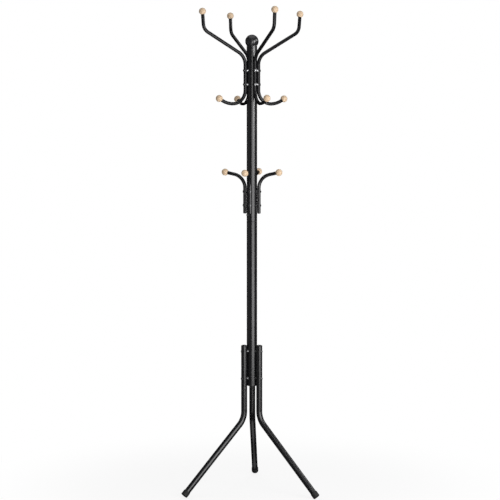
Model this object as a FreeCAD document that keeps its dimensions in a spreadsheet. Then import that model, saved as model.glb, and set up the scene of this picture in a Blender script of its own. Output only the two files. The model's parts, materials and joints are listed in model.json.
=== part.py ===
import FreeCAD, Part
import math
import os
import re
import Sketcher

# A standing coat rack: a two-piece steel post on three bent legs, with four double hooks at the
# top, four low hooks further down and a turned wooden ball on each hook's end.
# Millimetres and degrees, +Z up, floor at Z = 0. Every tube that is screwed to the post is drawn
# in its own radial plane: X away from the post's axis, Z up. Its body is then turned about that
# axis to the angle where it stands.

SIZES = {
    # post
    "PostDiameter": 38.0,
    "PostWall": 1.5,
    "PostBottom": 390.0,
    "PostSeam": 9.0,  # from the joint sleeve's upper end to the low hooks' lower screws
    "PostTop": 40.0,  # above HatBendHeight
    "PostEdge": 0.8,
    "AxisSetback": 50.0,
    # sleeve that joins the two post tubes, and its screw and weld nut
    "SleeveLength": 100.0,
    "SleeveWall": 2.0,
    "SleeveClearance": 0.1,
    "JointScrewRise": 24.0,
    "JointScrewAngle": 210.0,
    "JointScrewLength": 12.0,
    "JointHeadHeight": 3.3,
    "WeldNutWidth": 10.0,
    "WeldNutHeight": 5.0,
    "WeldNutCollar": 8.0,
    "WeldNutCollarHeight": 2.4,
    # ball-shaped post cap
    "CapDiameter": 48.4,
    "CapSeat": 15.0,
    "CapWall": 3.0,
    "CapSkirtLength": 25.0,
    "CapSkirtWall": 2.0,
    # plugs in open tube ends
    "PlugClearance": 0.1,
    "PlugSkirtWall": 1.5,
    "PlugRoof": 0.4,
    "PostPlugRise": 3.0,
    "PostPlugEdge": 1.2,
    "PostPlugSkirt": 18.0,
    "LegPlugRise": 6.0,
    "LegPlugEdge": 2.2,
    "LegPlugSkirt": 15.0,
    "HookPlugRise": 2.5,
    "HookPlugEdge": 0.8,
    "HookPlugSkirt": 12.0,
    # legs
    "LegAngle": 90.0,
    "LegDiameter": 22.0,
    "LegWall": 1.5,
    "LegGap": 2.0,
    "LegBendHeight": 267.0,
    "LegBendRadius": 72.0,
    "LegSplay": 43.3,
    "LegScrewHeight": 27.0,  # the lower screws, above PostBottom
    "LegScrewSpacing": 100.0,
    "LegTop": 4.0,  # from the upper screws to the lower end of the plug above them
    "LegScrewLength": 35.0,
    # rubber foot caps
    "FootDiameter": 25.5,
    "FootLength": 20.0,
    "FootEndWall": 3.5,
    "FootRound": 3.0,
    "FootLip": 1.2,
    "FootGrip": 0.05,
    "SoleCut": 0.55,
    # tube of all hooks
    "HookDiameter": 12.7,
    "HookWall": 1.2,
    "HookGap": 1.0,
    "HookScrewSpacing": 50.0,
    "HookScrewLength": 25.0,
    # double hooks
    "DoubleAngle": 27.0,
    "DoubleScrewHeight": 50.0,  # the upper screws, below HatBendHeight
    "HatBendHeight": 1588.0,
    "HatArmSlope": 30.0,
    "HatRootRadius": 50.0,
    "HatReach": 188.0,
    "HatTipRadius": 35.0,
    "HatTipLean": 4.5,
    "HatTipLength": 64.0,
    "CoatBendHeight": 20.5,  # below the lower screws
    "CoatBendRadius": 49.0,
    "CoatTipRadius": 80.0,
    "CoatTipSlope": 31.0,
    "CoatTipLength": 14.0,
    # low hooks
    "LowAngle": -12.0,
    "LowBottom": 28.0,  # below the lower screws
    "LowScrewHeight": 13.6,  # the upper screws, below LowBendHeight
    "LowBendHeight": 1114.6,
    "LowBendRadius": 50.0,
    "LowTipSlope": 12.0,
    "LowTipLength": 35.8,
    # wooden balls
    "BallDiameter": 25.0,
    "BallSeat": 1.0,
    "BallBoreClearance": 0.05,
    "BallMouthChamfer": 0.6,
    # button-head screws
    "ScrewDiameter": 6.0,
    "ScrewPoint": 0.8,
    "ScrewHoleClearance": 0.25,
    "HeadDiameter": 10.5,
    "HeadHeight": 2.2,
    "HeadEdge": 0.6,
    "HeadCrown": 5.4,
    "SeatDepth": 0.5,
    "SeatClearance": 0.25,
    "SocketWidth": 4.0,
    "SocketDepth": 1.4,
    # rivet nuts in the post's wall
    "NutDiameter": 9.0,
    "NutInnerLength": 12.0,
    "NutLip": 0.4,
    "NutLipDiameter": 10.5,
    "NutBulge": 11.0,
    "NutBulgeLength": 2.0,
    "NutBulgeSlope": 0.8,
    "NutGap": 0.3,
    "ThreadClearance": 0.05,
    # saddle spacers between the post and the tubes screwed to it
    "HookSaddle": 13.0,
    "HookSaddleWrap": 2.5,
    "LegSaddle": 14.0,
    "LegSaddleWrap": 3.0,
    "SaddleClearance": 0.1,
}

LEG_COUNT = 3
HOOK_COUNT = 4
SCREWS_PER_TUBE = 2

# Sizes that follow from the sheet's, written as expressions of its aliases.
POST_RADIUS = "PostDiameter / 2"
POST_BORE = "(PostDiameter / 2 - PostWall)"
LEG_AXIS = "(PostDiameter / 2 + LegGap + LegDiameter / 2)"
HOOK_AXIS = "(PostDiameter / 2 + HookGap + HookDiameter / 2)"
SCREW_HOLE = "(ScrewDiameter + 2 * ScrewHoleClearance)"
THREAD_RADIUS = "(ScrewDiameter / 2 + ThreadClearance)"
# Heights above the floor. A ring of hooks keeps its screws and both its bends together, and the
# post's top and seam go up and down with them.
DOUBLE_SCREW_Z = "(HatBendHeight - DoubleScrewHeight - HookScrewSpacing)"
COAT_BEND_Z = f"({DOUBLE_SCREW_Z} - CoatBendHeight)"
POST_TOP = "(HatBendHeight + PostTop)"
LOW_SCREW_Z = "(LowBendHeight - LowScrewHeight - HookScrewSpacing)"
LOW_BOTTOM = f"({LOW_SCREW_Z} - LowBottom)"
POST_SEAM = f"({LOW_SCREW_Z} - PostSeam - SleeveLength / 2)"
JOINT_SCREW_Z = f"({POST_SEAM} + JointScrewRise)"
LEG_SCREW_Z = "(PostBottom + LegScrewHeight)"
LEG_TOP = f"({LEG_SCREW_Z} + LegScrewSpacing + LegTop + LegPlugSkirt)"
# The foot's end face, set so that the round of its lowest edge reaches SoleCut below the floor.
FOOT_END_Z = ("(FootRound * (1 - cos(LegSplay)) + (FootDiameter / 2 - FootRound) * sin(LegSplay)"
              " - SoleCut)")
FOOT_END_X = f"({LEG_AXIS} + (LegBendHeight - {FOOT_END_Z}) * tan(LegSplay))"
# The corner of the hat arm's tip bend, and the centres of the three kinds of ball.
HAT_CORNER_Z = f"(HatBendHeight + (HatReach - {HOOK_AXIS}) * tan(HatArmSlope))"
COAT_TIP_X = f"({HOOK_AXIS} + CoatBendRadius + CoatTipRadius * sin(CoatTipSlope))"
COAT_TIP_Z = f"({COAT_BEND_Z} - CoatBendRadius + CoatTipRadius * (1 - cos(CoatTipSlope)))"
LOW_TIP_X = f"({HOOK_AXIS} + LowBendRadius * (1 - sin(LowTipSlope)))"
LOW_TIP_Z = f"(LowBendHeight + LowBendRadius * cos(LowTipSlope))"

doc = FreeCAD.newDocument("CoatRack")


def fill_sheet():
    """Puts the driving dimensions in the document's spreadsheet, one alias each."""
    sheet = doc.addObject("Spreadsheet::Sheet", "Sizes")
    for row, (alias, size) in enumerate(SIZES.items(), start=1):
        sheet.set(f"A{row}", alias)
        sheet.set(f"B{row}", str(size))
        sheet.setAlias(f"B{row}", alias)
    doc.recompute()
    return sheet


sheet = fill_sheet()


# ---------------------------------------------------------------- expressions

def cells(text):
    """The expression that FreeCAD reads: aliases start with a capital, functions don't."""
    return re.sub(r"\b[A-Z]\w*", lambda found: "Sizes." + found.group(), text)


def value(text):
    """The number that an expression of the aliases gives now."""
    return float(sheet.evalExpression(cells(text)))


def tie(thing, property_path, text):
    """Binds a property to an expression of the aliases."""
    thing.setExpression(property_path, cells(text))


# ---------------------------------------------------------------- bodies and sketches

def new_body(name, angle="0"):
    """A body on the post's axis, turned about it, whose label is its node's name."""
    body = doc.addObject("PartDesign::Body", name)
    body.Label = name
    upright = FreeCAD.Rotation(FreeCAD.Vector(0, 0, 1), value(angle))
    body.Placement = FreeCAD.Placement(FreeCAD.Vector(0, -value("AxisSetback"), 0), upright)
    if angle != "0":
        tie(body, "Placement.Rotation.Angle", angle)
    tie(body, "Placement.Base.y", "-AxisSetback")
    return body


def datum(body, role):
    """The origin plane or axis of a body that has this role."""
    return next(thing for thing in body.Origin.OriginFeatures if thing.Role == role)


def new_sketch(body, name, role, x="0", y="0", z="0", turn="0"):
    """A sketch on an origin plane, shifted in the plane's own axes and turned about its normal."""
    sketch = body.newObject("Sketcher::SketchObject", name)
    sketch.AttachmentSupport = (datum(body, role), [""])
    sketch.MapMode = "FlatFace"
    shift = FreeCAD.Vector(value(x), value(y), value(z))
    spin = FreeCAD.Rotation(FreeCAD.Vector(0, 0, 1), value(turn))
    sketch.AttachmentOffset = FreeCAD.Placement(shift, spin)
    for key, text in (("x", x), ("y", y), ("z", z)):
        if text != "0":
            tie(sketch, f"AttachmentOffset.Base.{key}", text)
    if turn != "0":
        # An angle may turn negative, which the rotation's own axis would swallow.
        tie(sketch, "AttachmentOffset.Rotation.Yaw", turn)
    return sketch


def name_constraint(sketch, index, name, text):
    sketch.renameConstraint(index, name)
    tie(sketch, f"Constraints.{name}", text)


def fix_point(sketch, edge, point, corner, tag):
    """Holds a point of an edge at a corner's expressions, or on the axis where one is 0."""
    for kind, axis, text in (("DistanceX", -2, corner[0]), ("DistanceY", -1, corner[1])):
        if text == "0":
            sketch.addConstraint(Sketcher.Constraint("PointOnObject", edge, point, axis))
        else:
            index = sketch.addConstraint(Sketcher.Constraint(kind, edge, point, value(text)))
            name_constraint(sketch, index, f"{kind[-1].lower()}{tag}", text)


def arc_between(start, stop, radius, side):
    """The short arc from start to stop that turns left (side 1) or right (side -1)."""
    chord = stop - start
    left = FreeCAD.Vector(-chord.y, chord.x, 0).normalize()
    rise = math.sqrt(radius ** 2 - (chord.Length / 2) ** 2)
    centre = (start + stop) * 0.5 + left * (side * rise)
    first, last = (start, stop) if side > 0 else (stop, start)
    angles = [math.atan2(spot.y - centre.y, spot.x - centre.x) for spot in (first, last)]
    circle = Part.Circle(centre, FreeCAD.Vector(0, 0, 1), radius)
    return Part.ArcOfCircle(circle, angles[0], angles[1])


def draw(sketch, corners, closed=True):
    """Draws an outline through corners and ties each of them to the sheet.

    A corner is (x, y), or (x, y, radius, side) where the edge that arrives there is an arc, with
    side 1 for a left turn and -1 for a right one.
    """
    spots = [FreeCAD.Vector(value(corner[0]), value(corner[1]), 0) for corner in corners]
    arrivals = list(range(1, len(corners)))
    if closed:
        arrivals.append(0)
    ends = []
    for edge, here in enumerate(arrivals):
        start, stop, corner = spots[here - 1], spots[here], corners[here]
        if len(corner) == 2:
            sketch.addGeometry(Part.LineSegment(start, stop), False)
            ends.append((1, 2))
        else:
            radius, side = corner[2], corner[3]
            sketch.addGeometry(arc_between(start, stop, value(radius), side), False)
            ends.append((1, 2) if side > 0 else (2, 1))
    for edge, here in enumerate(arrivals):
        fix_point(sketch, edge, ends[edge][1], corners[here], here)
        if edge > 0:
            joined = (edge - 1, ends[edge - 1][1], edge, ends[edge][0])
            sketch.addConstraint(Sketcher.Constraint("Coincident", *joined))
        if len(corners[here]) == 4:
            radius = corners[here][2]
            index = sketch.addConstraint(Sketcher.Constraint("Radius", edge, value(radius)))
            name_constraint(sketch, index, f"r{here}", radius)
    if closed:
        joined = (len(arrivals) - 1, ends[-1][1], 0, ends[0][0])
        sketch.addConstraint(Sketcher.Constraint("Coincident", *joined))
    else:
        fix_point(sketch, 0, ends[0][0], corners[0], 0)
    return sketch


def ring(sketch, x, y, *diameters):
    """Adds circles about one centre, each with its own diameter."""
    centre = FreeCAD.Vector(value(x), value(y), 0)
    for diameter in diameters:
        circle = Part.Circle(centre, FreeCAD.Vector(0, 0, 1), value(diameter) / 2)
        edge = sketch.addGeometry(circle, False)
        fix_point(sketch, edge, 3, (x, y), f"c{edge}")
        index = sketch.addConstraint(Sketcher.Constraint("Diameter", edge, value(diameter)))
        name_constraint(sketch, index, f"d{edge}", diameter)
    return sketch


# ---------------------------------------------------------------- features

def pad(body, sketch, length, backwards=False):
    feature = body.newObject("PartDesign::Pad", sketch.Name + "_pad")
    feature.Profile = sketch
    feature.Reversed = backwards
    tie(feature, "Length", length)
    return feature


def pocket(body, sketch, length, with_normal=True):
    """Cuts along the sketch's normal, or against it."""
    feature = body.newObject("PartDesign::Pocket", sketch.Name + "_pocket")
    feature.Profile = sketch
    feature.Reversed = with_normal
    tie(feature, "Length", length)
    return feature


def revolve(body, sketch, axis="V_Axis"):
    feature = body.newObject("PartDesign::Revolution", sketch.Name + "_turned")
    feature.Profile = sketch
    feature.ReferenceAxis = (sketch, [axis])
    feature.Angle = 360
    return feature


def polar(body, feature, count):
    """Repeats one feature around the post's axis."""
    pattern = body.newObject("PartDesign::PolarPattern", feature.Name + "_around")
    pattern.Originals = [feature]
    pattern.Axis = (datum(body, "Z_Axis"), [""])
    pattern.Angle = 360
    pattern.Occurrences = count
    body.Tip = pattern
    return pattern


def repeat_whole(body, spacing, count):
    """Repeats all of a body along Z and then, if count is over 1, around the post's axis.

    A pattern of the whole shape reads the shape before it, so that is built first.
    """
    doc.recompute()
    rows = body.newObject("PartDesign::LinearPattern", body.Name + "_rows")
    rows.TransformMode = "Whole shape"
    rows.Direction = (datum(body, "Z_Axis"), [""])
    rows.Occurrences = SCREWS_PER_TUBE
    tie(rows, "Length", spacing)
    body.Tip = rows
    if count > 1:
        doc.recompute()
        turns = body.newObject("PartDesign::PolarPattern", body.Name + "_around")
        turns.TransformMode = "Whole shape"
        turns.Axis = (datum(body, "Z_Axis"), [""])
        turns.Angle = 360
        turns.Occurrences = count
        body.Tip = turns


def bent_tube(body, route, diameter, wall, start_turn="0"):
    """Sweeps a tube's section along a route in the radial plane.

    start_turn leans the section's plane at the route's first point away from level.
    """
    path = draw(new_sketch(body, body.Name + "_route", "XZ_Plane"), route, closed=False)
    section = new_sketch(body, body.Name + "_section", "XY_Plane")
    lean = FreeCAD.Rotation(FreeCAD.Vector(0, 1, 0), value(start_turn))
    start_x, start_z = route[0]
    place = FreeCAD.Vector(value(start_x), 0, value(start_z))
    section.AttachmentOffset = FreeCAD.Placement(place, lean)
    tie(section, "AttachmentOffset.Base.x", start_x)
    tie(section, "AttachmentOffset.Base.z", start_z)
    if start_turn != "0":
        tie(section, "AttachmentOffset.Rotation.Angle", start_turn)
    ring(section, "0", "0", diameter, f"{diameter} - 2 * {wall}")
    sweep = body.newObject("PartDesign::AdditivePipe", body.Name + "_sweep")
    sweep.Profile = section
    sweep.Spine = (path, [])
    return sweep


def drill_tube(body, axis, diameter, heights):
    """Screw holes straight through a tube, each with a flat seat for its head outside."""
    holes = new_sketch(body, body.Name + "_holes", "YZ_Plane")
    seats = new_sketch(body, body.Name + "_seats", "YZ_Plane", z=f"{axis} + {diameter} / 2 - SeatDepth")
    for height in heights:
        ring(holes, "0", height, SCREW_HOLE)
        ring(seats, "0", height, "HeadDiameter + 2 * SeatClearance")
    pocket(body, holes, f"{axis} + {diameter}")
    pocket(body, seats, "2 * SeatDepth")


def screw_heights(lowest, spacing):
    return [f"{lowest} + {spacing} * {row}" for row in range(SCREWS_PER_TUBE)]


# ---------------------------------------------------------------- the post

def post_tube(name, angle, bottom, top):
    """A tube whose cut ends are rounded outside, so that a seam between two shows as a groove."""
    body = new_body(name, angle)
    flat = f"{POST_RADIUS} - PostEdge"
    profile = new_sketch(body, name + "_profile", "XZ_Plane")
    draw(profile, [
        (POST_BORE, bottom),
        (flat, bottom),
        (POST_RADIUS, f"{bottom} + PostEdge", "PostEdge", 1),
        (POST_RADIUS, f"{top} - PostEdge"),
        (flat, top, "PostEdge", 1),
        (POST_BORE, top),
    ])
    revolve(body, profile)
    return body


def nut_holes(body, name, lowest, spacing, count, turn="0"):
    """Holes for the rivet nuts of one ring of tubes, two heights for each tube."""
    sketch = new_sketch(body, name, "YZ_Plane")
    if turn != "0":
        # The sketch's own Y is the post's axis, so this swings the drilling line around it.
        sketch.AttachmentOffset = FreeCAD.Placement(
            FreeCAD.Vector(), FreeCAD.Rotation(FreeCAD.Vector(0, 1, 0), value(turn)))
        tie(sketch, "AttachmentOffset.Rotation.Angle", turn)
    for height in screw_heights(lowest, spacing):
        ring(sketch, "0", height, "NutDiameter")
    polar(body, pocket(body, sketch, "PostDiameter"), count)


def lower_tube():
    body = post_tube("post_lower_tube", "LegAngle", "PostBottom", POST_SEAM)
    nut_holes(body, "leg_nut_holes", LEG_SCREW_Z, "LegScrewSpacing", LEG_COUNT)


def upper_tube():
    body = post_tube("post_upper_tube", "JointScrewAngle", POST_SEAM, POST_TOP)
    hole = new_sketch(body, "joint_hole", "YZ_Plane")
    ring(hole, "0", JOINT_SCREW_Z, SCREW_HOLE)
    pocket(body, hole, "PostDiameter")
    seat = new_sketch(body, "joint_seat", "YZ_Plane", z=f"{POST_RADIUS} - SeatDepth")
    ring(seat, "0", JOINT_SCREW_Z, "HeadDiameter + 2 * SeatClearance")
    pocket(body, seat, "2 * SeatDepth")
    nut_holes(body, "double_nut_holes", DOUBLE_SCREW_Z, "HookScrewSpacing", HOOK_COUNT,
              "DoubleAngle - JointScrewAngle + 360")
    nut_holes(body, "low_nut_holes", LOW_SCREW_Z, "HookScrewSpacing", HOOK_COUNT,
              "LowAngle - JointScrewAngle + 360")


def joint_sleeve():
    name = "post_joint_sleeve"
    body = new_body(name, "JointScrewAngle")
    outside = "(PostDiameter - 2 * PostWall - 2 * SleeveClearance)"
    section = new_sketch(body, name + "_section", "XY_Plane", z=f"{POST_SEAM} - SleeveLength / 2")
    ring(section, "0", "0", outside, f"{outside} - 2 * SleeveWall")
    pad(body, section, "SleeveLength")
    hole = new_sketch(body, name + "_hole", "YZ_Plane")
    ring(hole, "0", JOINT_SCREW_Z, "WeldNutCollar + 2 * SaddleClearance")
    pocket(body, hole, "PostDiameter")


def weld_nut():
    """A hexagonal nut whose round collar centres it in the sleeve's hole."""
    name = "post_joint_nut"
    body = new_body(name, "JointScrewAngle")
    sleeve_bore = f"({POST_BORE} - SleeveClearance - SleeveWall)"
    corner = "(WeldNutWidth / 2 / cos(30))"
    face = f"sqrt({sleeve_bore}^2 - {corner}^2)"
    hexagon = new_sketch(body, name + "_hexagon", "YZ_Plane", y=JOINT_SCREW_Z,
                         z=f"{face} - WeldNutHeight")
    draw(hexagon, [(f"{corner} * cos({60 * k + 30})", f"{corner} * sin({60 * k + 30})")
                   for k in range(6)])
    pad(body, hexagon, "WeldNutHeight")
    collar = new_sketch(body, name + "_collar", "YZ_Plane", y=JOINT_SCREW_Z, z=face)
    ring(collar, "0", "0", "WeldNutCollar")
    pad(body, collar, "WeldNutCollarHeight")
    bore = new_sketch(body, name + "_bore", "YZ_Plane", y=JOINT_SCREW_Z)
    ring(bore, "0", "0", f"2 * {THREAD_RADIUS}")
    pocket(body, bore, "PostDiameter")


def post_cap():
    """A hollow ball, cut flat where it sits on the tube's rim, with a skirt inside the tube."""
    name = "post_cap"
    body = new_body(name)
    outer = "CapDiameter / 2"
    inner = f"({outer} - CapWall)"
    skirt = f"({POST_BORE} - PlugClearance)"
    bore = f"({skirt} - CapSkirtWall)"
    sketch = new_sketch(body, name + "_profile", "XZ_Plane", y=POST_TOP)
    draw(sketch, [
        ("0", f"CapSeat + {outer}"),
        (f"sqrt(({outer})^2 - CapSeat^2)", "0", outer, -1),
        (skirt, "0"),
        (skirt, "-CapSkirtLength"),
        (bore, "-CapSkirtLength"),
        (bore, f"CapSeat - sqrt({inner}^2 - {bore}^2)"),
        ("0", f"CapSeat + {inner}", inner, 1),
    ])
    revolve(body, sketch)


# ---------------------------------------------------------------- plugs, feet and balls

def plug(name, angle, x, z, turn, tube, wall, rise, edge, skirt_length):
    """A domed plug in the open end of a tube, which points away from the tube by turn."""
    body = new_body(name, angle)
    radius = f"({tube} / 2)"
    skirt = f"({radius} - {wall} - PlugClearance)"
    crown = f"(({radius}^2 + ({rise} - {edge})^2) / (2 * ({rise} - {edge})))"
    sketch = new_sketch(body, name + "_profile", "XZ_Plane", x=x, y=z, turn=turn)
    draw(sketch, [
        ("0", rise),
        (radius, edge, crown, -1),
        (radius, "0"),
        (skirt, "0"),
        (skirt, f"-{skirt_length}"),
        (f"{skirt} - PlugSkirtWall", f"-{skirt_length}"),
        (f"{skirt} - PlugSkirtWall", "PlugRoof"),
        ("0", "PlugRoof"),
    ])
    revolve(body, sketch)


def foot_cap(name, angle):
    """A rubber cap on a leg's end, worn flat where its lowest edge stands on the floor."""
    body = new_body(name, angle)
    outside = "FootDiameter / 2"
    bore = "LegDiameter / 2 + FootGrip"
    profile = new_sketch(body, name + "_profile", "XZ_Plane", x=FOOT_END_X, y=FOOT_END_Z,
                         turn="LegSplay")
    draw(profile, [
        ("0", "0"),
        (f"{outside} - FootRound", "0"),
        (outside, "FootRound", "FootRound", 1),
        (outside, "FootLength - FootLip"),
        (f"{outside} - FootLip", "FootLength", "FootLip", 1),
        (bore, "FootLength"),
        (bore, "FootEndWall"),
        ("0", "FootEndWall"),
    ])
    revolve(body, profile)
    sole = new_sketch(body, name + "_sole", "XY_Plane", x=FOOT_END_X)
    ring(sole, "0", "0", "4 * FootDiameter")
    pocket(body, sole, "FootDiameter", with_normal=False)


def ball(name, angle, x, z, turn):
    """A turned ball with a blind bore for the tube's end and a small chamfer at its mouth."""
    body = new_body(name, angle)
    radius = "(BallDiameter / 2)"
    bore = "(HookDiameter / 2 + BallBoreClearance)"
    mouth = f"({bore} + BallMouthChamfer)"
    mouth_y = f"(-sqrt({radius}^2 - {mouth}^2))"
    sketch = new_sketch(body, name + "_profile", "XZ_Plane", x=x, y=z, turn=turn)
    draw(sketch, [
        ("0", radius),
        (mouth, mouth_y, radius, -1),
        (bore, f"{mouth_y} + BallMouthChamfer"),
        (bore, "-BallSeat"),
        ("0", "-BallSeat"),
    ])
    revolve(body, sketch)


# ---------------------------------------------------------------- fasteners

def screws(name, angle, seat, height, length, spacing=None, head_height="HeadHeight"):
    """Button-head screws with a hexagon socket, pointing at the post's axis."""
    body = new_body(name, angle)
    head = "HeadDiameter / 2"
    shank = "ScrewDiameter / 2"
    profile = new_sketch(body, name + "_profile", "XZ_Plane", x=seat, y=height)
    draw(profile, [
        (f"-{length}", "0"),
        (f"-{length}", f"{shank} - ScrewPoint"),
        (f"ScrewPoint - {length}", shank),
        ("0", shank),
        ("0", head),
        ("HeadEdge", head),
        (head_height, "HeadCrown / 2", "HeadDiameter / 2", 1),
        (head_height, "0"),
    ])
    revolve(body, profile, "H_Axis")
    socket = new_sketch(body, name + "_socket", "YZ_Plane", y=height, z=f"{seat} + {head_height}")
    corner = "(SocketWidth / 2 / cos(30))"
    draw(socket, [(f"{corner} * cos({60 * k + 30})", f"{corner} * sin({60 * k + 30})")
                  for k in range(6)])
    pocket(body, socket, "SocketDepth", with_normal=False)
    if spacing:
        repeat_whole(body, spacing, 1)


def rivet_nuts(name, angle, lowest, spacing, count):
    """Rivet nuts: a thin lip on the post's wall, a threaded body and the bulge that holds it."""
    body = new_body(name, angle)
    lip = new_sketch(body, name + "_lip", "YZ_Plane", y=lowest, z=f"{POST_RADIUS} + NutLip")
    ring(lip, "0", "0", "NutLipDiameter", f"2 * {THREAD_RADIUS}")
    pad(body, lip, "NutLip + PostWall", backwards=True)
    wall = new_sketch(body, name + "_wall", "XY_Plane")
    ring(wall, "0", "0", "PostDiameter")
    pocket(body, wall, POST_TOP)
    bulge = "NutBulge / 2"
    bulge_top = f"(sqrt({POST_BORE}^2 - ({bulge})^2) - NutGap)"
    outside = "NutDiameter / 2"
    profile = new_sketch(body, name + "_profile", "XZ_Plane", y=lowest)
    draw(profile, [
        (f"{POST_RADIUS} - NutInnerLength", THREAD_RADIUS),
        (f"{POST_RADIUS} + NutLip", THREAD_RADIUS),
        (f"{POST_RADIUS} + NutLip", outside),
        (f"{bulge_top} + NutBulgeSlope / 2", outside),
        (bulge_top, bulge),
        (f"{bulge_top} - NutBulgeLength", bulge),
        (f"{bulge_top} - NutBulgeLength - NutBulgeSlope", outside),
        (f"{POST_RADIUS} - NutInnerLength", outside),
    ])
    revolve(body, profile, "H_Axis")
    repeat_whole(body, spacing, count)


def saddles(name, angle, lowest, spacing, count, diameter, axis, tube, gap, wrap):
    """Round spacers, hollowed on one side for the post and on the other for the tube."""
    body = new_body(name, angle)
    disc = new_sketch(body, name + "_disc", "YZ_Plane", y=lowest)
    ring(disc, "0", "0", diameter)
    pad(body, disc, f"{POST_RADIUS} + {gap} + {wrap}")
    post_side = new_sketch(body, name + "_post_side", "XY_Plane")
    ring(post_side, "0", "0", "PostDiameter")
    pocket(body, post_side, POST_TOP)
    tube_side = new_sketch(body, name + "_tube_side", "XY_Plane")
    ring(tube_side, axis, "0", tube)
    pocket(body, tube_side, POST_TOP)
    recess = new_sketch(body, name + "_recess", "YZ_Plane", y=lowest)
    ring(recess, "0", "0", "NutLipDiameter + 2 * SaddleClearance")
    pocket(body, recess, f"{POST_RADIUS} + NutLip + SaddleClearance")
    hole = new_sketch(body, name + "_hole", "YZ_Plane", y=lowest)
    ring(hole, "0", "0", SCREW_HOLE)
    pocket(body, hole, axis)
    repeat_whole(body, spacing, count)


# ---------------------------------------------------------------- legs and hooks

def leg(name, angle):
    """A tube that stands beside the post and bends outwards to its foot."""
    body = new_body(name, angle)
    reach = "LegBendRadius * tan(LegSplay / 2)"
    route = [
        (LEG_AXIS, LEG_TOP),
        (LEG_AXIS, f"LegBendHeight + {reach}"),
        (f"{LEG_AXIS} + {reach} * sin(LegSplay)", f"LegBendHeight - {reach} * cos(LegSplay)",
         "LegBendRadius", 1),
        (f"{FOOT_END_X} - FootEndWall * sin(LegSplay)",
         f"{FOOT_END_Z} + FootEndWall * cos(LegSplay)"),
    ]
    bent_tube(body, route, "LegDiameter", "LegWall")
    drill_tube(body, LEG_AXIS, "LegDiameter", screw_heights(LEG_SCREW_Z, "LegScrewSpacing"))


def double_hook(name, angle):
    """One tube: hat arm above, straight run on the post, coat arm below."""
    body = new_body(name, angle)
    tip_turn = "((90 - HatTipLean - HatArmSlope) / 2)"
    tip_reach = f"(HatTipRadius * tan({tip_turn}))"
    root_reach = "(HatRootRadius * tan((90 - HatArmSlope) / 2))"
    tip_run = "(HatTipLength - BallSeat)"
    route = [
        (f"HatReach + {tip_run} * sin(HatTipLean)", f"{HAT_CORNER_Z} + {tip_run} * cos(HatTipLean)"),
        (f"HatReach + {tip_reach} * sin(HatTipLean)",
         f"{HAT_CORNER_Z} + {tip_reach} * cos(HatTipLean)"),
        (f"HatReach - {tip_reach} * cos(HatArmSlope)",
         f"{HAT_CORNER_Z} - {tip_reach} * sin(HatArmSlope)", "HatTipRadius", -1),
        (f"{HOOK_AXIS} + {root_reach} * cos(HatArmSlope)",
         f"HatBendHeight + {root_reach} * sin(HatArmSlope)"),
        (HOOK_AXIS, f"HatBendHeight - {root_reach}", "HatRootRadius", 1),
        (HOOK_AXIS, COAT_BEND_Z),
        (f"{HOOK_AXIS} + CoatBendRadius", f"{COAT_BEND_Z} - CoatBendRadius", "CoatBendRadius", 1),
        (COAT_TIP_X, COAT_TIP_Z, "CoatTipRadius", 1),
        (f"{COAT_TIP_X} + (CoatTipLength - BallSeat) * cos(CoatTipSlope)",
         f"{COAT_TIP_Z} + (CoatTipLength - BallSeat) * sin(CoatTipSlope)"),
    ]
    bent_tube(body, route, "HookDiameter", "HookWall", start_turn="HatTipLean")
    heights = screw_heights(DOUBLE_SCREW_Z, "HookScrewSpacing")
    drill_tube(body, HOOK_AXIS, "HookDiameter", heights)


def low_hook(name, angle):
    """A short tube that rises along the post and bends out to its ball."""
    body = new_body(name, angle)
    route = [
        (HOOK_AXIS, LOW_BOTTOM),
        (HOOK_AXIS, "LowBendHeight"),
        (LOW_TIP_X, LOW_TIP_Z, "LowBendRadius", -1),
        (f"{LOW_TIP_X} + (LowTipLength - BallSeat) * cos(LowTipSlope)",
         f"{LOW_TIP_Z} + (LowTipLength - BallSeat) * sin(LowTipSlope)"),
    ]
    bent_tube(body, route, "HookDiameter", "HookWall")
    heights = screw_heights(LOW_SCREW_Z, "HookScrewSpacing")
    drill_tube(body, HOOK_AXIS, "HookDiameter", heights)


# ---------------------------------------------------------------- the assembly

def build_post():
    lower_tube()
    upper_tube()
    joint_sleeve()
    weld_nut()
    seat = f"{POST_RADIUS} - SeatDepth"
    screws("post_joint_screw", "JointScrewAngle", seat, JOINT_SCREW_Z, "JointScrewLength",
           head_height="JointHeadHeight")
    post_cap()
    plug("post_bottom_plug", "0", "0", "PostBottom", "180", "PostDiameter", "PostWall",
         "PostPlugRise", "PostPlugEdge", "PostPlugSkirt")


def build_legs():
    seat = f"{LEG_AXIS} + LegDiameter / 2 - SeatDepth"
    for number, side in enumerate(("rear", "left", "right")):
        angle = f"LegAngle + {360 // LEG_COUNT * number}"
        leg(f"leg_{side}", angle)
        plug(f"leg_top_plug_{side}", angle, LEG_AXIS, LEG_TOP, "0", "LegDiameter", "LegWall",
             "LegPlugRise", "LegPlugEdge", "LegPlugSkirt")
        foot_cap(f"foot_cap_{side}", angle)
        screws(f"leg_screws_{side}", angle, seat, LEG_SCREW_Z, "LegScrewLength",
               "LegScrewSpacing")
    rivet_nuts("leg_rivet_nuts", "LegAngle", LEG_SCREW_Z, "LegScrewSpacing", LEG_COUNT)
    saddles("leg_saddles", "LegAngle", LEG_SCREW_Z, "LegScrewSpacing", LEG_COUNT,
            "LegSaddle", LEG_AXIS, "LegDiameter", "LegGap", "LegSaddleWrap")


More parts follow.
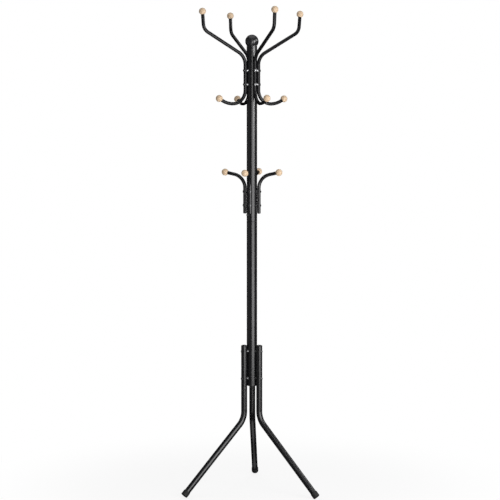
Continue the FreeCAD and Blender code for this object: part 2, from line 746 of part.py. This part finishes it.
def build_hooks():
    seat = f"{HOOK_AXIS} + HookDiameter / 2 - SeatDepth"
    for number in range(HOOK_COUNT):
        tag = number + 1
        step = 360 // HOOK_COUNT * number
        angle = f"DoubleAngle + {step}"
        double_hook(f"double_hook_{tag}", angle)
        ball(f"hat_ball_{tag}", angle, "HatReach + HatTipLength * sin(HatTipLean)",
             f"{HAT_CORNER_Z} + HatTipLength * cos(HatTipLean)", "-HatTipLean")
        ball(f"coat_ball_{tag}", angle, f"{COAT_TIP_X} + CoatTipLength * cos(CoatTipSlope)",
             f"{COAT_TIP_Z} + CoatTipLength * sin(CoatTipSlope)", "CoatTipSlope - 90")
        screws(f"double_hook_screws_{tag}", angle, seat, DOUBLE_SCREW_Z, "HookScrewLength",
               "HookScrewSpacing")
        angle = f"LowAngle + {step + 360}"
        low_hook(f"low_hook_{tag}", angle)
        ball(f"low_ball_{tag}", angle, f"{LOW_TIP_X} + LowTipLength * cos(LowTipSlope)",
             f"{LOW_TIP_Z} + LowTipLength * sin(LowTipSlope)", "LowTipSlope - 90")
        plug(f"low_hook_plug_{tag}", angle, HOOK_AXIS, LOW_BOTTOM, "180", "HookDiameter",
             "HookWall", "HookPlugRise", "HookPlugEdge", "HookPlugSkirt")
        screws(f"low_hook_screws_{tag}", angle, seat, LOW_SCREW_Z, "HookScrewLength",
               "HookScrewSpacing")
    for ring_name, angle, lowest in (("double_hook", "DoubleAngle", DOUBLE_SCREW_Z),
                                     ("low_hook", "LowAngle + 360", LOW_SCREW_Z)):
        rivet_nuts(f"{ring_name}_rivet_nuts", angle, lowest, "HookScrewSpacing", HOOK_COUNT)
        saddles(f"{ring_name}_saddles", angle, lowest, "HookScrewSpacing", HOOK_COUNT,
                "HookSaddle", HOOK_AXIS, "HookDiameter", "HookGap", "HookSaddleWrap")


def check_document():
    """Stops if any object failed, any piece is not a valid solid or any cut took nothing."""
    for thing in doc.Objects:
        if "Invalid" in thing.State or "Error" in thing.State:
            raise RuntimeError(f"{thing.Name} failed to recompute: {thing.State}")
        if thing.TypeId == "PartDesign::Pocket":
            before = thing.BaseFeature.Shape.Volume
            if thing.Shape.Volume >= before * (1 - 1e-9):
                raise RuntimeError(f"{thing.Name} cuts nothing")
        if thing.TypeId == "PartDesign::Body":
            if thing.Shape.isNull() or not thing.Shape.isValid() or not thing.Shape.Solids:
                raise RuntimeError(f"{thing.Name} has no valid solid")


def write_parts():
    os.makedirs("parts", exist_ok=True)
    for body in doc.Objects:
        if body.TypeId == "PartDesign::Body":
            body.Shape.exportStep(f"parts/{body.Label}.step")


build_post()
build_legs()
build_hooks()
doc.recompute()
check_document()
write_parts()
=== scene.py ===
import json
import math

import bpy
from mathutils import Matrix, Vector


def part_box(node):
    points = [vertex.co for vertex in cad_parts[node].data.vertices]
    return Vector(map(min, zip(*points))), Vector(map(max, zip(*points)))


# A standing coat rack: black powder-coated steel tube, turned beech balls, black plastic plugs and
# cap, rubber feet and zinc-plated screws. Metres, floor at Z = 0, the front towards -Y.

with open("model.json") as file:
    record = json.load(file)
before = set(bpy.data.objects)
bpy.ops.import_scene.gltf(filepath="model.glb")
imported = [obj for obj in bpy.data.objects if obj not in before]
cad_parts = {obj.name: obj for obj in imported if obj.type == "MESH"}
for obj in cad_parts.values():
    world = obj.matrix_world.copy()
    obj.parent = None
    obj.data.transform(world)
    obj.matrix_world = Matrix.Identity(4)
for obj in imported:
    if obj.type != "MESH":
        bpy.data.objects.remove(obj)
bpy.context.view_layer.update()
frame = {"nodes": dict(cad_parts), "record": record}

MM = 0.001
WHITE = "#ffffff"


# ---------------------------------------------------------------- helpers for colours and nodes

def linear(hex_colour):
    """An sRGB hex colour as the linear RGBA that Blender's sockets take."""
    channels = [int(hex_colour[i:i + 2], 16) / 255 for i in (1, 3, 5)]
    channels = [c / 12.92 if c <= 0.04045 else ((c + 0.055) / 1.055) ** 2.4 for c in channels]
    return (*channels, 1.0)


def add(tree, kind, inputs=None, **settings):
    """A node with settings, and inputs by name or number: a socket is linked, a value is set."""
    node = tree.nodes.new(kind)
    for name, setting in settings.items():
        setattr(node, name, setting)
    for key, source in (inputs or {}).items():
        if isinstance(source, bpy.types.NodeSocket):
            tree.links.new(source, node.inputs[key])
        else:
            node.inputs[key].default_value = source
    return node


def new_material(name):
    """A material with nothing but its output node, and that node."""
    material = bpy.data.materials.new(name)
    material.use_nodes = True
    material.node_tree.nodes.clear()
    return material, material.node_tree, add(material.node_tree, "ShaderNodeOutputMaterial")


def grain_size(millimetres):
    """The scale at which a noise texture's grains are about that wide."""
    return 1 / (millimetres * MM)


# A noise texture seldom leaves this range.
NOISE_LOW = 0.3
NOISE_HIGH = 0.7


# ---------------------------------------------------------------- finishes

def powder_coated_steel(name, smooth, rough, ior):
    """Sprayed and baked powder: a thick black film with a faint orange peel.

    smooth is its roughness where the film lies thick, and rough where it lies thin.
    """
    material, tree, output = new_material(name)
    place = add(tree, "ShaderNodeTexCoord").outputs["Object"]

    # The film runs a little thicker and glossier in places, over some centimetres.
    film = add(tree, "ShaderNodeTexNoise", {
        "Vector": place, "Scale": grain_size(35), "Detail": 2.0, "Roughness": 0.5,
    }).outputs["Fac"]
    # Orange peel is about 1.5 mm across, and is drawn 3 mm across, so that it shows.
    peel = add(tree, "ShaderNodeTexNoise", {
        "Vector": place, "Scale": grain_size(3), "Detail": 1.0, "Roughness": 0.4,
    }).outputs["Fac"]

    colour = add(tree, "ShaderNodeMix", {
        "Factor": film, "A": linear("#101012"), "B": linear("#18181a"),
    }, data_type="RGBA")
    gloss = add(tree, "ShaderNodeMapRange", {
        "Value": film, "From Min": NOISE_LOW, "From Max": NOISE_HIGH,
        "To Min": smooth, "To Max": rough,
    })
    ripples = add(tree, "ShaderNodeBump", {"Height": peel, "Strength": 0.4, "Distance": 0.2 * MM})
    shader = add(tree, "ShaderNodeBsdfPrincipled", {
        "Base Color": colour.outputs["Result"],
        "Roughness": gloss.outputs["Result"],
        "Normal": ripples.outputs["Normal"],
        "IOR": ior,
    })
    tree.links.new(shader.outputs["BSDF"], output.inputs["Surface"])
    return material


def zinc_plated_steel(name, dark, pale):
    """Electroplated zinc, passivated: dull silver, a little uneven from the bath."""
    material, tree, output = new_material(name)
    place = add(tree, "ShaderNodeTexCoord").outputs["Object"]
    # The bath leaves paler and darker patches some 4 mm wide, and tumbling leaves 0.4 mm marks.
    bath = add(tree, "ShaderNodeTexNoise", {
        "Vector": place, "Scale": grain_size(4), "Detail": 3.0,
    }).outputs["Fac"]
    tumbling = add(tree, "ShaderNodeTexNoise", {
        "Vector": place, "Scale": grain_size(0.4), "Detail": 2.0,
    }).outputs["Fac"]
    colour = add(tree, "ShaderNodeMix", {
        "Factor": bath, "A": linear(dark), "B": linear(pale),
    }, data_type="RGBA")
    polish = add(tree, "ShaderNodeMapRange", {
        "Value": bath, "From Min": NOISE_LOW, "From Max": NOISE_HIGH,
        "To Min": 0.34, "To Max": 0.44,
    })
    marks = add(tree, "ShaderNodeBump", {
        "Height": tumbling, "Strength": 0.1, "Distance": 0.05 * MM,
    })
    shader = add(tree, "ShaderNodeBsdfPrincipled", {
        "Base Color": colour.outputs["Result"],
        "Metallic": 1.0,
        "Roughness": polish.outputs["Result"],
        "Normal": marks.outputs["Normal"],
    })
    tree.links.new(shader.outputs["BSDF"], output.inputs["Surface"])
    return material


def moulded_black(name, pale, dark, smooth, rough, grain, depth, ior):
    """A moulded black part: its mould's texture is grain wide and depth deep, in millimetres."""
    material, tree, output = new_material(name)
    place = add(tree, "ShaderNodeTexCoord").outputs["Object"]
    # The melt's flow leaves paler and darker patches some 9 mm wide.
    flow = add(tree, "ShaderNodeTexNoise", {
        "Vector": place, "Scale": grain_size(9), "Detail": 2.0,
    }).outputs["Fac"]
    texture = add(tree, "ShaderNodeTexNoise", {
        "Vector": place, "Scale": grain_size(grain), "Detail": 2.0,
    }).outputs["Fac"]
    colour = add(tree, "ShaderNodeMix", {
        "Factor": flow, "A": linear(dark), "B": linear(pale),
    }, data_type="RGBA")
    gloss = add(tree, "ShaderNodeMapRange", {
        "Value": flow, "From Min": NOISE_LOW, "From Max": NOISE_HIGH,
        "To Min": smooth, "To Max": rough,
    })
    skin = add(tree, "ShaderNodeBump", {"Height": texture, "Strength": 0.3, "Distance": depth * MM})
    shader = add(tree, "ShaderNodeBsdfPrincipled", {
        "Base Color": colour.outputs["Result"],
        "Roughness": gloss.outputs["Result"],
        "Normal": skin.outputs["Normal"],
        "IOR": ior,
    })
    tree.links.new(shader.outputs["BSDF"], output.inputs["Surface"])
    return material


def moulded_abs():
    """The post's cap: hard and close-grained, so lamps show on it as small soft spots."""
    return moulded_black("moulded ABS", pale="#2b2b2d", dark="#222224",
                         smooth=0.20, rough=0.24, grain=0.5, depth=0.01, ior=1.54)


def moulded_polyethylene():
    """The plugs in the tube ends: waxier than the cap, with a broad dull shine."""
    return moulded_black("moulded polyethylene", pale="#242425", dark="#1c1c1d",
                         smooth=0.42, rough=0.50, grain=0.7, depth=0.04, ior=1.51)


def moulded_rubber():
    """The foot caps: matt, nearly no shine, with a slight bloom."""
    return moulded_black("moulded rubber", pale="#1c1c1c", dark="#131313",
                         smooth=0.62, rough=0.75, grain=0.8, depth=0.06, ior=1.52)


# How far apart the wave texture draws its rings at a scale of 1.
WAVE_REPEAT = 0.314


def turned_beech(name, centre, along):
    """One ball of natural beech, turned on its own axis from a stick cut along the grain."""
    material, tree, output = new_material(name)
    place = add(tree, "ShaderNodeTexCoord").outputs["Object"]
    turn = along.to_track_quat("Z", "Y").to_matrix().transposed()
    own = add(tree, "ShaderNodeMapping", {
        "Vector": place,
        "Location": -(turn @ centre),
        "Rotation": turn.to_euler(),
    }).outputs["Vector"]

    # Growth rings about 2 mm apart, round a pith some 60 mm beside the ball.
    heart = add(tree, "ShaderNodeVectorMath", {0: own, 1: (60 * MM, 15 * MM, 0.0)}).outputs[0]
    rings = add(tree, "ShaderNodeTexWave", {
        "Vector": heart, "Scale": WAVE_REPEAT / (2.2 * MM), "Distortion": 2.5, "Detail": 2.0,
        "Detail Scale": 0.6, "Detail Roughness": 0.5,
    }, wave_type="RINGS", rings_direction="Z").outputs["Fac"]
    # Fibres run along the stick: 0.5 mm across and 12 mm long.
    drawn_out = add(tree, "ShaderNodeVectorMath", {
        0: own, 1: (grain_size(0.5), grain_size(0.5), grain_size(12)),
    }, operation="MULTIPLY").outputs[0]
    fibres = add(tree, "ShaderNodeTexNoise", {
        "Vector": drawn_out, "Scale": 1.0, "Detail": 3.0, "Roughness": 0.6,
    }).outputs["Fac"]
    # Beech's ray flecks: short dark dashes where the noise peaks, drawn 0.8 mm wide, twice their
    # real width, so that they show.
    dashes = add(tree, "ShaderNodeVectorMath", {
        0: own, 1: (grain_size(0.8), grain_size(1.6), grain_size(3.5)),
    }, operation="MULTIPLY").outputs[0]
    flecks = add(tree, "ShaderNodeTexNoise", {
        "Vector": dashes, "Scale": 1.0, "Detail": 1.0,
    }).outputs["Fac"]
    fleck = add(tree, "ShaderNodeMapRange", {
        "Value": flecks, "From Min": 0.60, "From Max": 0.68, "To Min": 0.0, "To Max": 0.25,
    }).outputs["Result"]

    early = add(tree, "ShaderNodeMix", {
        "Factor": fibres, "A": linear("#e2c9ac"), "B": linear("#d7bb9a"),
    }, data_type="RGBA").outputs["Result"]
    late = add(tree, "ShaderNodeMapRange", {
        "Value": rings, "From Min": 0.3, "From Max": 1.0, "To Min": 0.0, "To Max": 0.3,
    }).outputs["Result"]
    ringed = add(tree, "ShaderNodeMix", {
        "Factor": late, "A": early, "B": linear("#c09c74"),
    }, data_type="RGBA").outputs["Result"]
    colour = add(tree, "ShaderNodeMix", {
        "Factor": fleck, "A": ringed, "B": linear("#a27d57"),
    }, data_type="RGBA").outputs["Result"]
    satin = add(tree, "ShaderNodeMapRange", {
        "Value": fibres, "From Min": NOISE_LOW, "From Max": NOISE_HIGH,
        "To Min": 0.42, "To Max": 0.55,
    }).outputs["Result"]
    pores = add(tree, "ShaderNodeBump", {
        "Height": fibres, "Strength": 0.25, "Distance": 0.05 * MM,
    })
    shader = add(tree, "ShaderNodeBsdfPrincipled", {
        "Base Color": colour, "Roughness": satin, "Normal": pores.outputs["Normal"], "IOR": 1.5,
    })
    tree.links.new(shader.outputs["BSDF"], output.inputs["Surface"])
    return material


# ---------------------------------------------------------------- dressing the steel and the wood

cap_low, cap_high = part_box("post_cap")
post_axis = (cap_low + cap_high) / 2
post_axis.z = 0.0

# The screws' heads, as they are in the CAD. A socket's corners lie just inside SOCKET_RADIUS.
HEAD_RADIUS = 5.25 * MM
SOCKET_RADIUS = 2.4 * MM
SOCKET_DEPTH = 1.4 * MM
# Faces no deeper than CROWN_SKIN are the crown's own, and FLOOR_SLACK takes in the socket's floor.
CROWN_SKIN = 0.05 * MM
FLOOR_SLACK = 0.1 * MM
# The vertices that are nearer to a ball's centre than this share of its radius are its bore's.
BORE_REACH = 0.8


def ball_axis(ball):
    """A ball's centre, and the direction of its bore, from the bore's mouth to the far side."""
    low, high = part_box(ball.name)
    centre = (low + high) / 2
    radius = max(high - low) / 2
    inner = [v.co for v in ball.data.vertices if (v.co - centre).length < BORE_REACH * radius]
    bore = sum(inner, Vector()) / len(inner)
    return centre, (centre - bore).normalized()


def dress(node, material):
    """Gives a CAD node one material all over."""
    node.data.materials.clear()
    node.data.materials.append(material)


def dress_sockets(node, material):
    """Gives the sockets of a node's highest and lowest screw heads a second material, of painted
    shade.
    """
    low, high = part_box(node.name)
    outward = (low + high) / 2 - post_axis
    outward.z = 0.0
    outward.normalize()
    crown = max((v.co - post_axis).dot(outward) for v in node.data.vertices)
    node.data.materials.append(material)
    for face in node.data.polygons:
        spot = face.center - post_axis
        depth = crown - spot.dot(outward)
        height = min(abs(spot.z - low.z - HEAD_RADIUS), abs(spot.z - high.z + HEAD_RADIUS))
        sideways = (spot.xy - spot.dot(outward) * outward.xy).length
        in_depth = CROWN_SKIN < depth < SOCKET_DEPTH + FLOOR_SLACK
        if in_depth and math.hypot(height, sideways) < SOCKET_RADIUS:
            face.material_index = 1


# The post, legs and low hooks have a satin coat, with a usual IOR for paint. The double hooks' coat
# is glossier. Its IOR is lower than real paint's, so that it looks black enough.
satin_steel = powder_coated_steel("satin powder-coated steel", smooth=0.24, rough=0.30, ior=1.57)
gloss_steel = powder_coated_steel("gloss powder-coated steel", smooth=0.15, rough=0.20, ior=1.36)
zinc = zinc_plated_steel("zinc-plated steel", dark="#808286", pale="#969694")
# Painted shade: little light gets into a socket 4 mm across, so its walls and floor are painted
# nearly black.
painted_socket_shade = zinc_plated_steel("zinc-plated steel, painted socket shade", dark="#1c1c1e", pale="#2a2a2b")
cap_plastic = moulded_abs()
plug_plastic = moulded_polyethylene()
rubber = moulded_rubber()
finishes = {
    "black_powder_coat": satin_steel,
    "zinc_plate": zinc,
    "black_plastic": plug_plastic,
    "black_rubber": rubber,
}
slots = {piece["node"]: piece["material_slot"] for piece in frame["record"]["subparts"]}
for name, node in frame["nodes"].items():
    if slots[name] == "turned_wood":
        dress(node, turned_beech(f"turned beech, {name}", *ball_axis(node)))
    elif name == "post_cap":
        dress(node, cap_plastic)
    elif name.startswith("double_hook") and slots[name] == "black_powder_coat":
        dress(node, gloss_steel)
    else:
        dress(node, finishes[slots[name]])
    if "screw" in name:
        # The sockets' walls and floors get painted shade.
        dress_sockets(node, painted_socket_shade)


# ---------------------------------------------------------------- floor, backdrop and light

FLOOR_SIZE = 400.0
# Of its own shading the floor shows this share round its middle, and none from SHADOW_FAR on.
SHADOW_SHARE = 0.15
SHADOW_NEAR = 0.35
SHADOW_FAR = 1.1


def white_share(tree, camera_share=1.0):
    """How much plain white a ray meets: camera_share from the camera, 1 if glossy or transmitted."""
    path = add(tree, "ShaderNodeLightPath")
    share = add(tree, "ShaderNodeMath", {
        0: path.outputs["Is Camera Ray"], 1: camera_share,
    }, operation="MULTIPLY").outputs[0]
    for ray in ("Is Glossy Ray", "Is Transmission Ray"):
        share = add(tree, "ShaderNodeMath", {
            0: share, 1: path.outputs[ray],
        }, operation="MAXIMUM").outputs[0]
    return share


def floor_material():
    """White seamless floor: it takes the rack's shadow, and turns to plain white further out."""
    material, tree, output = new_material("white studio floor")
    place = add(tree, "ShaderNodeTexCoord").outputs["Object"]
    reach = add(tree, "ShaderNodeVectorMath", {0: place}, operation="LENGTH").outputs["Value"]
    away = add(tree, "ShaderNodeMapRange", {
        "Value": reach, "From Min": SHADOW_NEAR, "From Max": SHADOW_FAR,
        "To Min": 1.0 - SHADOW_SHARE, "To Max": 1.0,
    }, interpolation_type="SMOOTHSTEP").outputs["Result"]
    matt = add(tree, "ShaderNodeBsdfDiffuse", {"Color": linear("#f2f2f2")}).outputs[0]
    plain = add(tree, "ShaderNodeEmission", {"Color": linear(WHITE)}).outputs[0]
    whole = add(tree, "ShaderNodeMixShader", {"Fac": white_share(tree, away), 1: matt, 2: plain})
    tree.links.new(whole.outputs[0], output.inputs["Surface"])
    return material


def black_cloth():
    """Black velvet for the flags round the rack."""
    material, tree, output = new_material("black flag cloth")
    velvet = add(tree, "ShaderNodeBsdfDiffuse", {"Color": linear("#0a0a0a")})
    tree.links.new(velvet.outputs[0], output.inputs["Surface"])
    return material


def studio_sheet(name, corners, faces, material):
    """A plain sheet for the studio, with its material."""
    mesh = bpy.data.meshes.new(name)
    mesh.from_pydata(corners, [], faces)
    mesh.materials.append(material)
    sheet = bpy.data.objects.new(name, mesh)
    bpy.context.collection.objects.link(sheet)
    return sheet


def white_floor():
    """A floor so wide that its edge is lost in the distance."""
    half = FLOOR_SIZE / 2
    corners = [(-half, -half, 0), (half, -half, 0), (half, half, 0), (-half, half, 0)]
    studio_sheet("floor", corners, [(0, 1, 2, 3)], floor_material())


# The drum stands on a ground of its own, just above the floor, and is closed by a lid.
DRUM_RADIUS = 3.4
DRUM_GROUND = 1 * MM
DRUM_LID = 4.2
DRUM_SIDES = 32


def black_flags():
    """A closed drum of flags. Only reflections see it: it keeps the edges of tubes dark."""
    around = [2 * math.pi * n / DRUM_SIDES for n in range(DRUM_SIDES)]
    rim = [Vector((math.cos(a), math.sin(a), 0.0)) * DRUM_RADIUS for a in around]
    corners = [p + post_axis + Vector((0, 0, z)) for z in (DRUM_GROUND, DRUM_LID) for p in rim]
    walls = [(n, (n + 1) % DRUM_SIDES, (n + 1) % DRUM_SIDES + DRUM_SIDES, n + DRUM_SIDES)
             for n in range(DRUM_SIDES)]
    ground = tuple(range(DRUM_SIDES))
    lid = tuple(range(DRUM_SIDES, 2 * DRUM_SIDES))
    flags = studio_sheet("black flags", corners, [*walls, lid, ground], black_cloth())
    flags.visible_camera = False
    flags.visible_diffuse = False
    flags.visible_transmission = False
    flags.visible_shadow = False


# How far a lamp stands from the post, unless it says otherwise.
LIGHT_DISTANCE = 2.4
# Floor cards lie just above the drum's ground.
CARD_HEIGHT = 3 * MM
# Tilts, in degrees.
FACING_UP = -90
FACING_DOWN = 90


def softbox(name, azimuth, height, width, tall, radiance, distance=LIGHT_DISTANCE, tilt=0.0,
            diffuse=True, glossy=True):
    """A soft lamp, azimuth degrees to the right of the front and tilted down by tilt degrees.

    radiance is how bright its face is, whatever its size. diffuse is whether it lights surfaces,
    and glossy whether it shows in what is shiny.
    """
    lamp = bpy.data.lights.new(name, "AREA")
    lamp.shape = "RECTANGLE"
    lamp.size = width
    lamp.size_y = tall
    lamp.energy = radiance * math.pi * width * tall
    box = bpy.data.objects.new(name, lamp)
    angle = math.radians(azimuth)
    outward = Vector((math.sin(angle), -math.cos(angle), 0.0))
    box.location = post_axis + outward * distance + Vector((0, 0, height))
    box.rotation_euler = (math.radians(90 - tilt), 0, angle)
    box.visible_camera = False
    box.visible_diffuse = diffuse
    box.visible_glossy = glossy
    bpy.context.collection.objects.link(box)
    return box


def flag_off_all_but(lamp, *names):
    """Keeps a lamp off every piece but these, as a small flag in front of it would."""
    reached = bpy.data.collections.new(lamp.name + " reaches")
    for name in names:
        reached.objects.link(frame["nodes"][name])
    lamp.light_linking.receiver_collection = reached


white_floor()
black_flags()

# The two key softboxes draw the bright line down the post and the front legs.
softbox("key softbox", azimuth=31, height=1.2, width=2.6, tall=1.1, radiance=3.6)
softbox("low key softbox", azimuth=31, height=0.35, width=2.3, tall=0.6, radiance=5.2)
# The next three light the balls and the floor, and don't show in what is shiny.
softbox("fill softbox", azimuth=-70, height=1.2, width=1.4, tall=2.0, radiance=0.3, glossy=False)
softbox("high key softbox", azimuth=45, height=2.4, width=1.2, tall=1.2, radiance=3.0, tilt=25,
        glossy=False)
softbox("back softbox", azimuth=180, height=1.1, width=2.2, tall=1.8, radiance=3.0, glossy=False)
softbox("top softbox", azimuth=0, height=3.3, width=2.4, tall=2.4, radiance=0.9, distance=0.0,
        tilt=FACING_DOWN)
# All from here on show only in what is shiny, and light nothing.
cap_strip = softbox("cap strip", azimuth=50, height=1.70, width=0.6, tall=0.64, radiance=19.0,
                    diffuse=False)
upper_fastenings = [name for name in frame["nodes"]
                    if name.startswith(("double_hook_screws", "double_hook_saddles"))]
flag_off_all_but(cap_strip, "post_cap", "post_upper_tube", *upper_fastenings)
softbox("side high strip", azimuth=90, height=2.3, width=1.8, tall=0.75, radiance=5.0, diffuse=False)
softbox("back strip", azimuth=182.5, height=1.0, width=0.8, tall=1.9, radiance=4.0, diffuse=False)
softbox("left card", azimuth=-75, height=1.0, width=3.4, tall=2.2, radiance=0.22, diffuse=False)
softbox("front floor card", azimuth=0, height=CARD_HEIGHT, width=0.6, tall=2.0, radiance=1.0,
        distance=1.5, tilt=FACING_UP, diffuse=False)
softbox("rear floor card", azimuth=180, height=CARD_HEIGHT, width=0.2, tall=0.16, radiance=0.7,
        distance=0.06, tilt=FACING_UP, diffuse=False)
softbox("rear foot card", azimuth=180, height=CARD_HEIGHT, width=0.05, tall=0.11, radiance=0.45,
        distance=0.195, tilt=FACING_UP, diffuse=False)
softbox("high front strip", azimuth=2, height=2.45, width=1.1, tall=0.4, radiance=3.0, tilt=42,
        diffuse=False)


def world_light():
    """White where the camera or a reflection meets the backdrop, and a low even light elsewhere."""
    world = bpy.data.worlds.new("studio")
    bpy.context.scene.world = world
    world.use_nodes = True
    tree = world.node_tree
    tree.nodes.clear()
    even = add(tree, "ShaderNodeBackground", {"Color": linear(WHITE), "Strength": 0.15}).outputs[0]
    white = add(tree, "ShaderNodeBackground", {"Color": linear(WHITE), "Strength": 1.0}).outputs[0]
    mixed = add(tree, "ShaderNodeMixShader", {"Fac": white_share(tree), 1: even, 2: white})
    output = add(tree, "ShaderNodeOutputWorld")
    tree.links.new(mixed.outputs[0], output.inputs["Surface"])


world_light()


# ---------------------------------------------------------------- camera

# Metres and degrees, with the lens in millimetres and the shift as a share of the picture's width.
CAMERA_DISTANCE = 5.719
CAMERA_AZIMUTH = 2.5
CAMERA_HEIGHT = 1.370
CAMERA_TILT = 4.82
CAMERA_LENS = 113.3
CAMERA_SHIFT = -0.0038


def place_camera():
    """A long lens at chest height, a little to the right of the front and tilted down."""
    camera = bpy.data.objects.new("camera", bpy.data.cameras.new("camera"))
    angle = math.radians(CAMERA_AZIMUTH)
    out = Vector((math.sin(angle), -math.cos(angle), 0.0))
    camera.location = post_axis + out * CAMERA_DISTANCE + Vector((0, 0, CAMERA_HEIGHT))
    camera.rotation_euler = (math.radians(90 - CAMERA_TILT), 0, angle)
    camera.data.lens = CAMERA_LENS
    camera.data.sensor_width = 36.0
    camera.data.shift_x = CAMERA_SHIFT
    bpy.context.collection.objects.link(camera)
    bpy.context.scene.camera = camera


place_camera()
bpy.context.scene.view_settings.view_transform = "Standard"
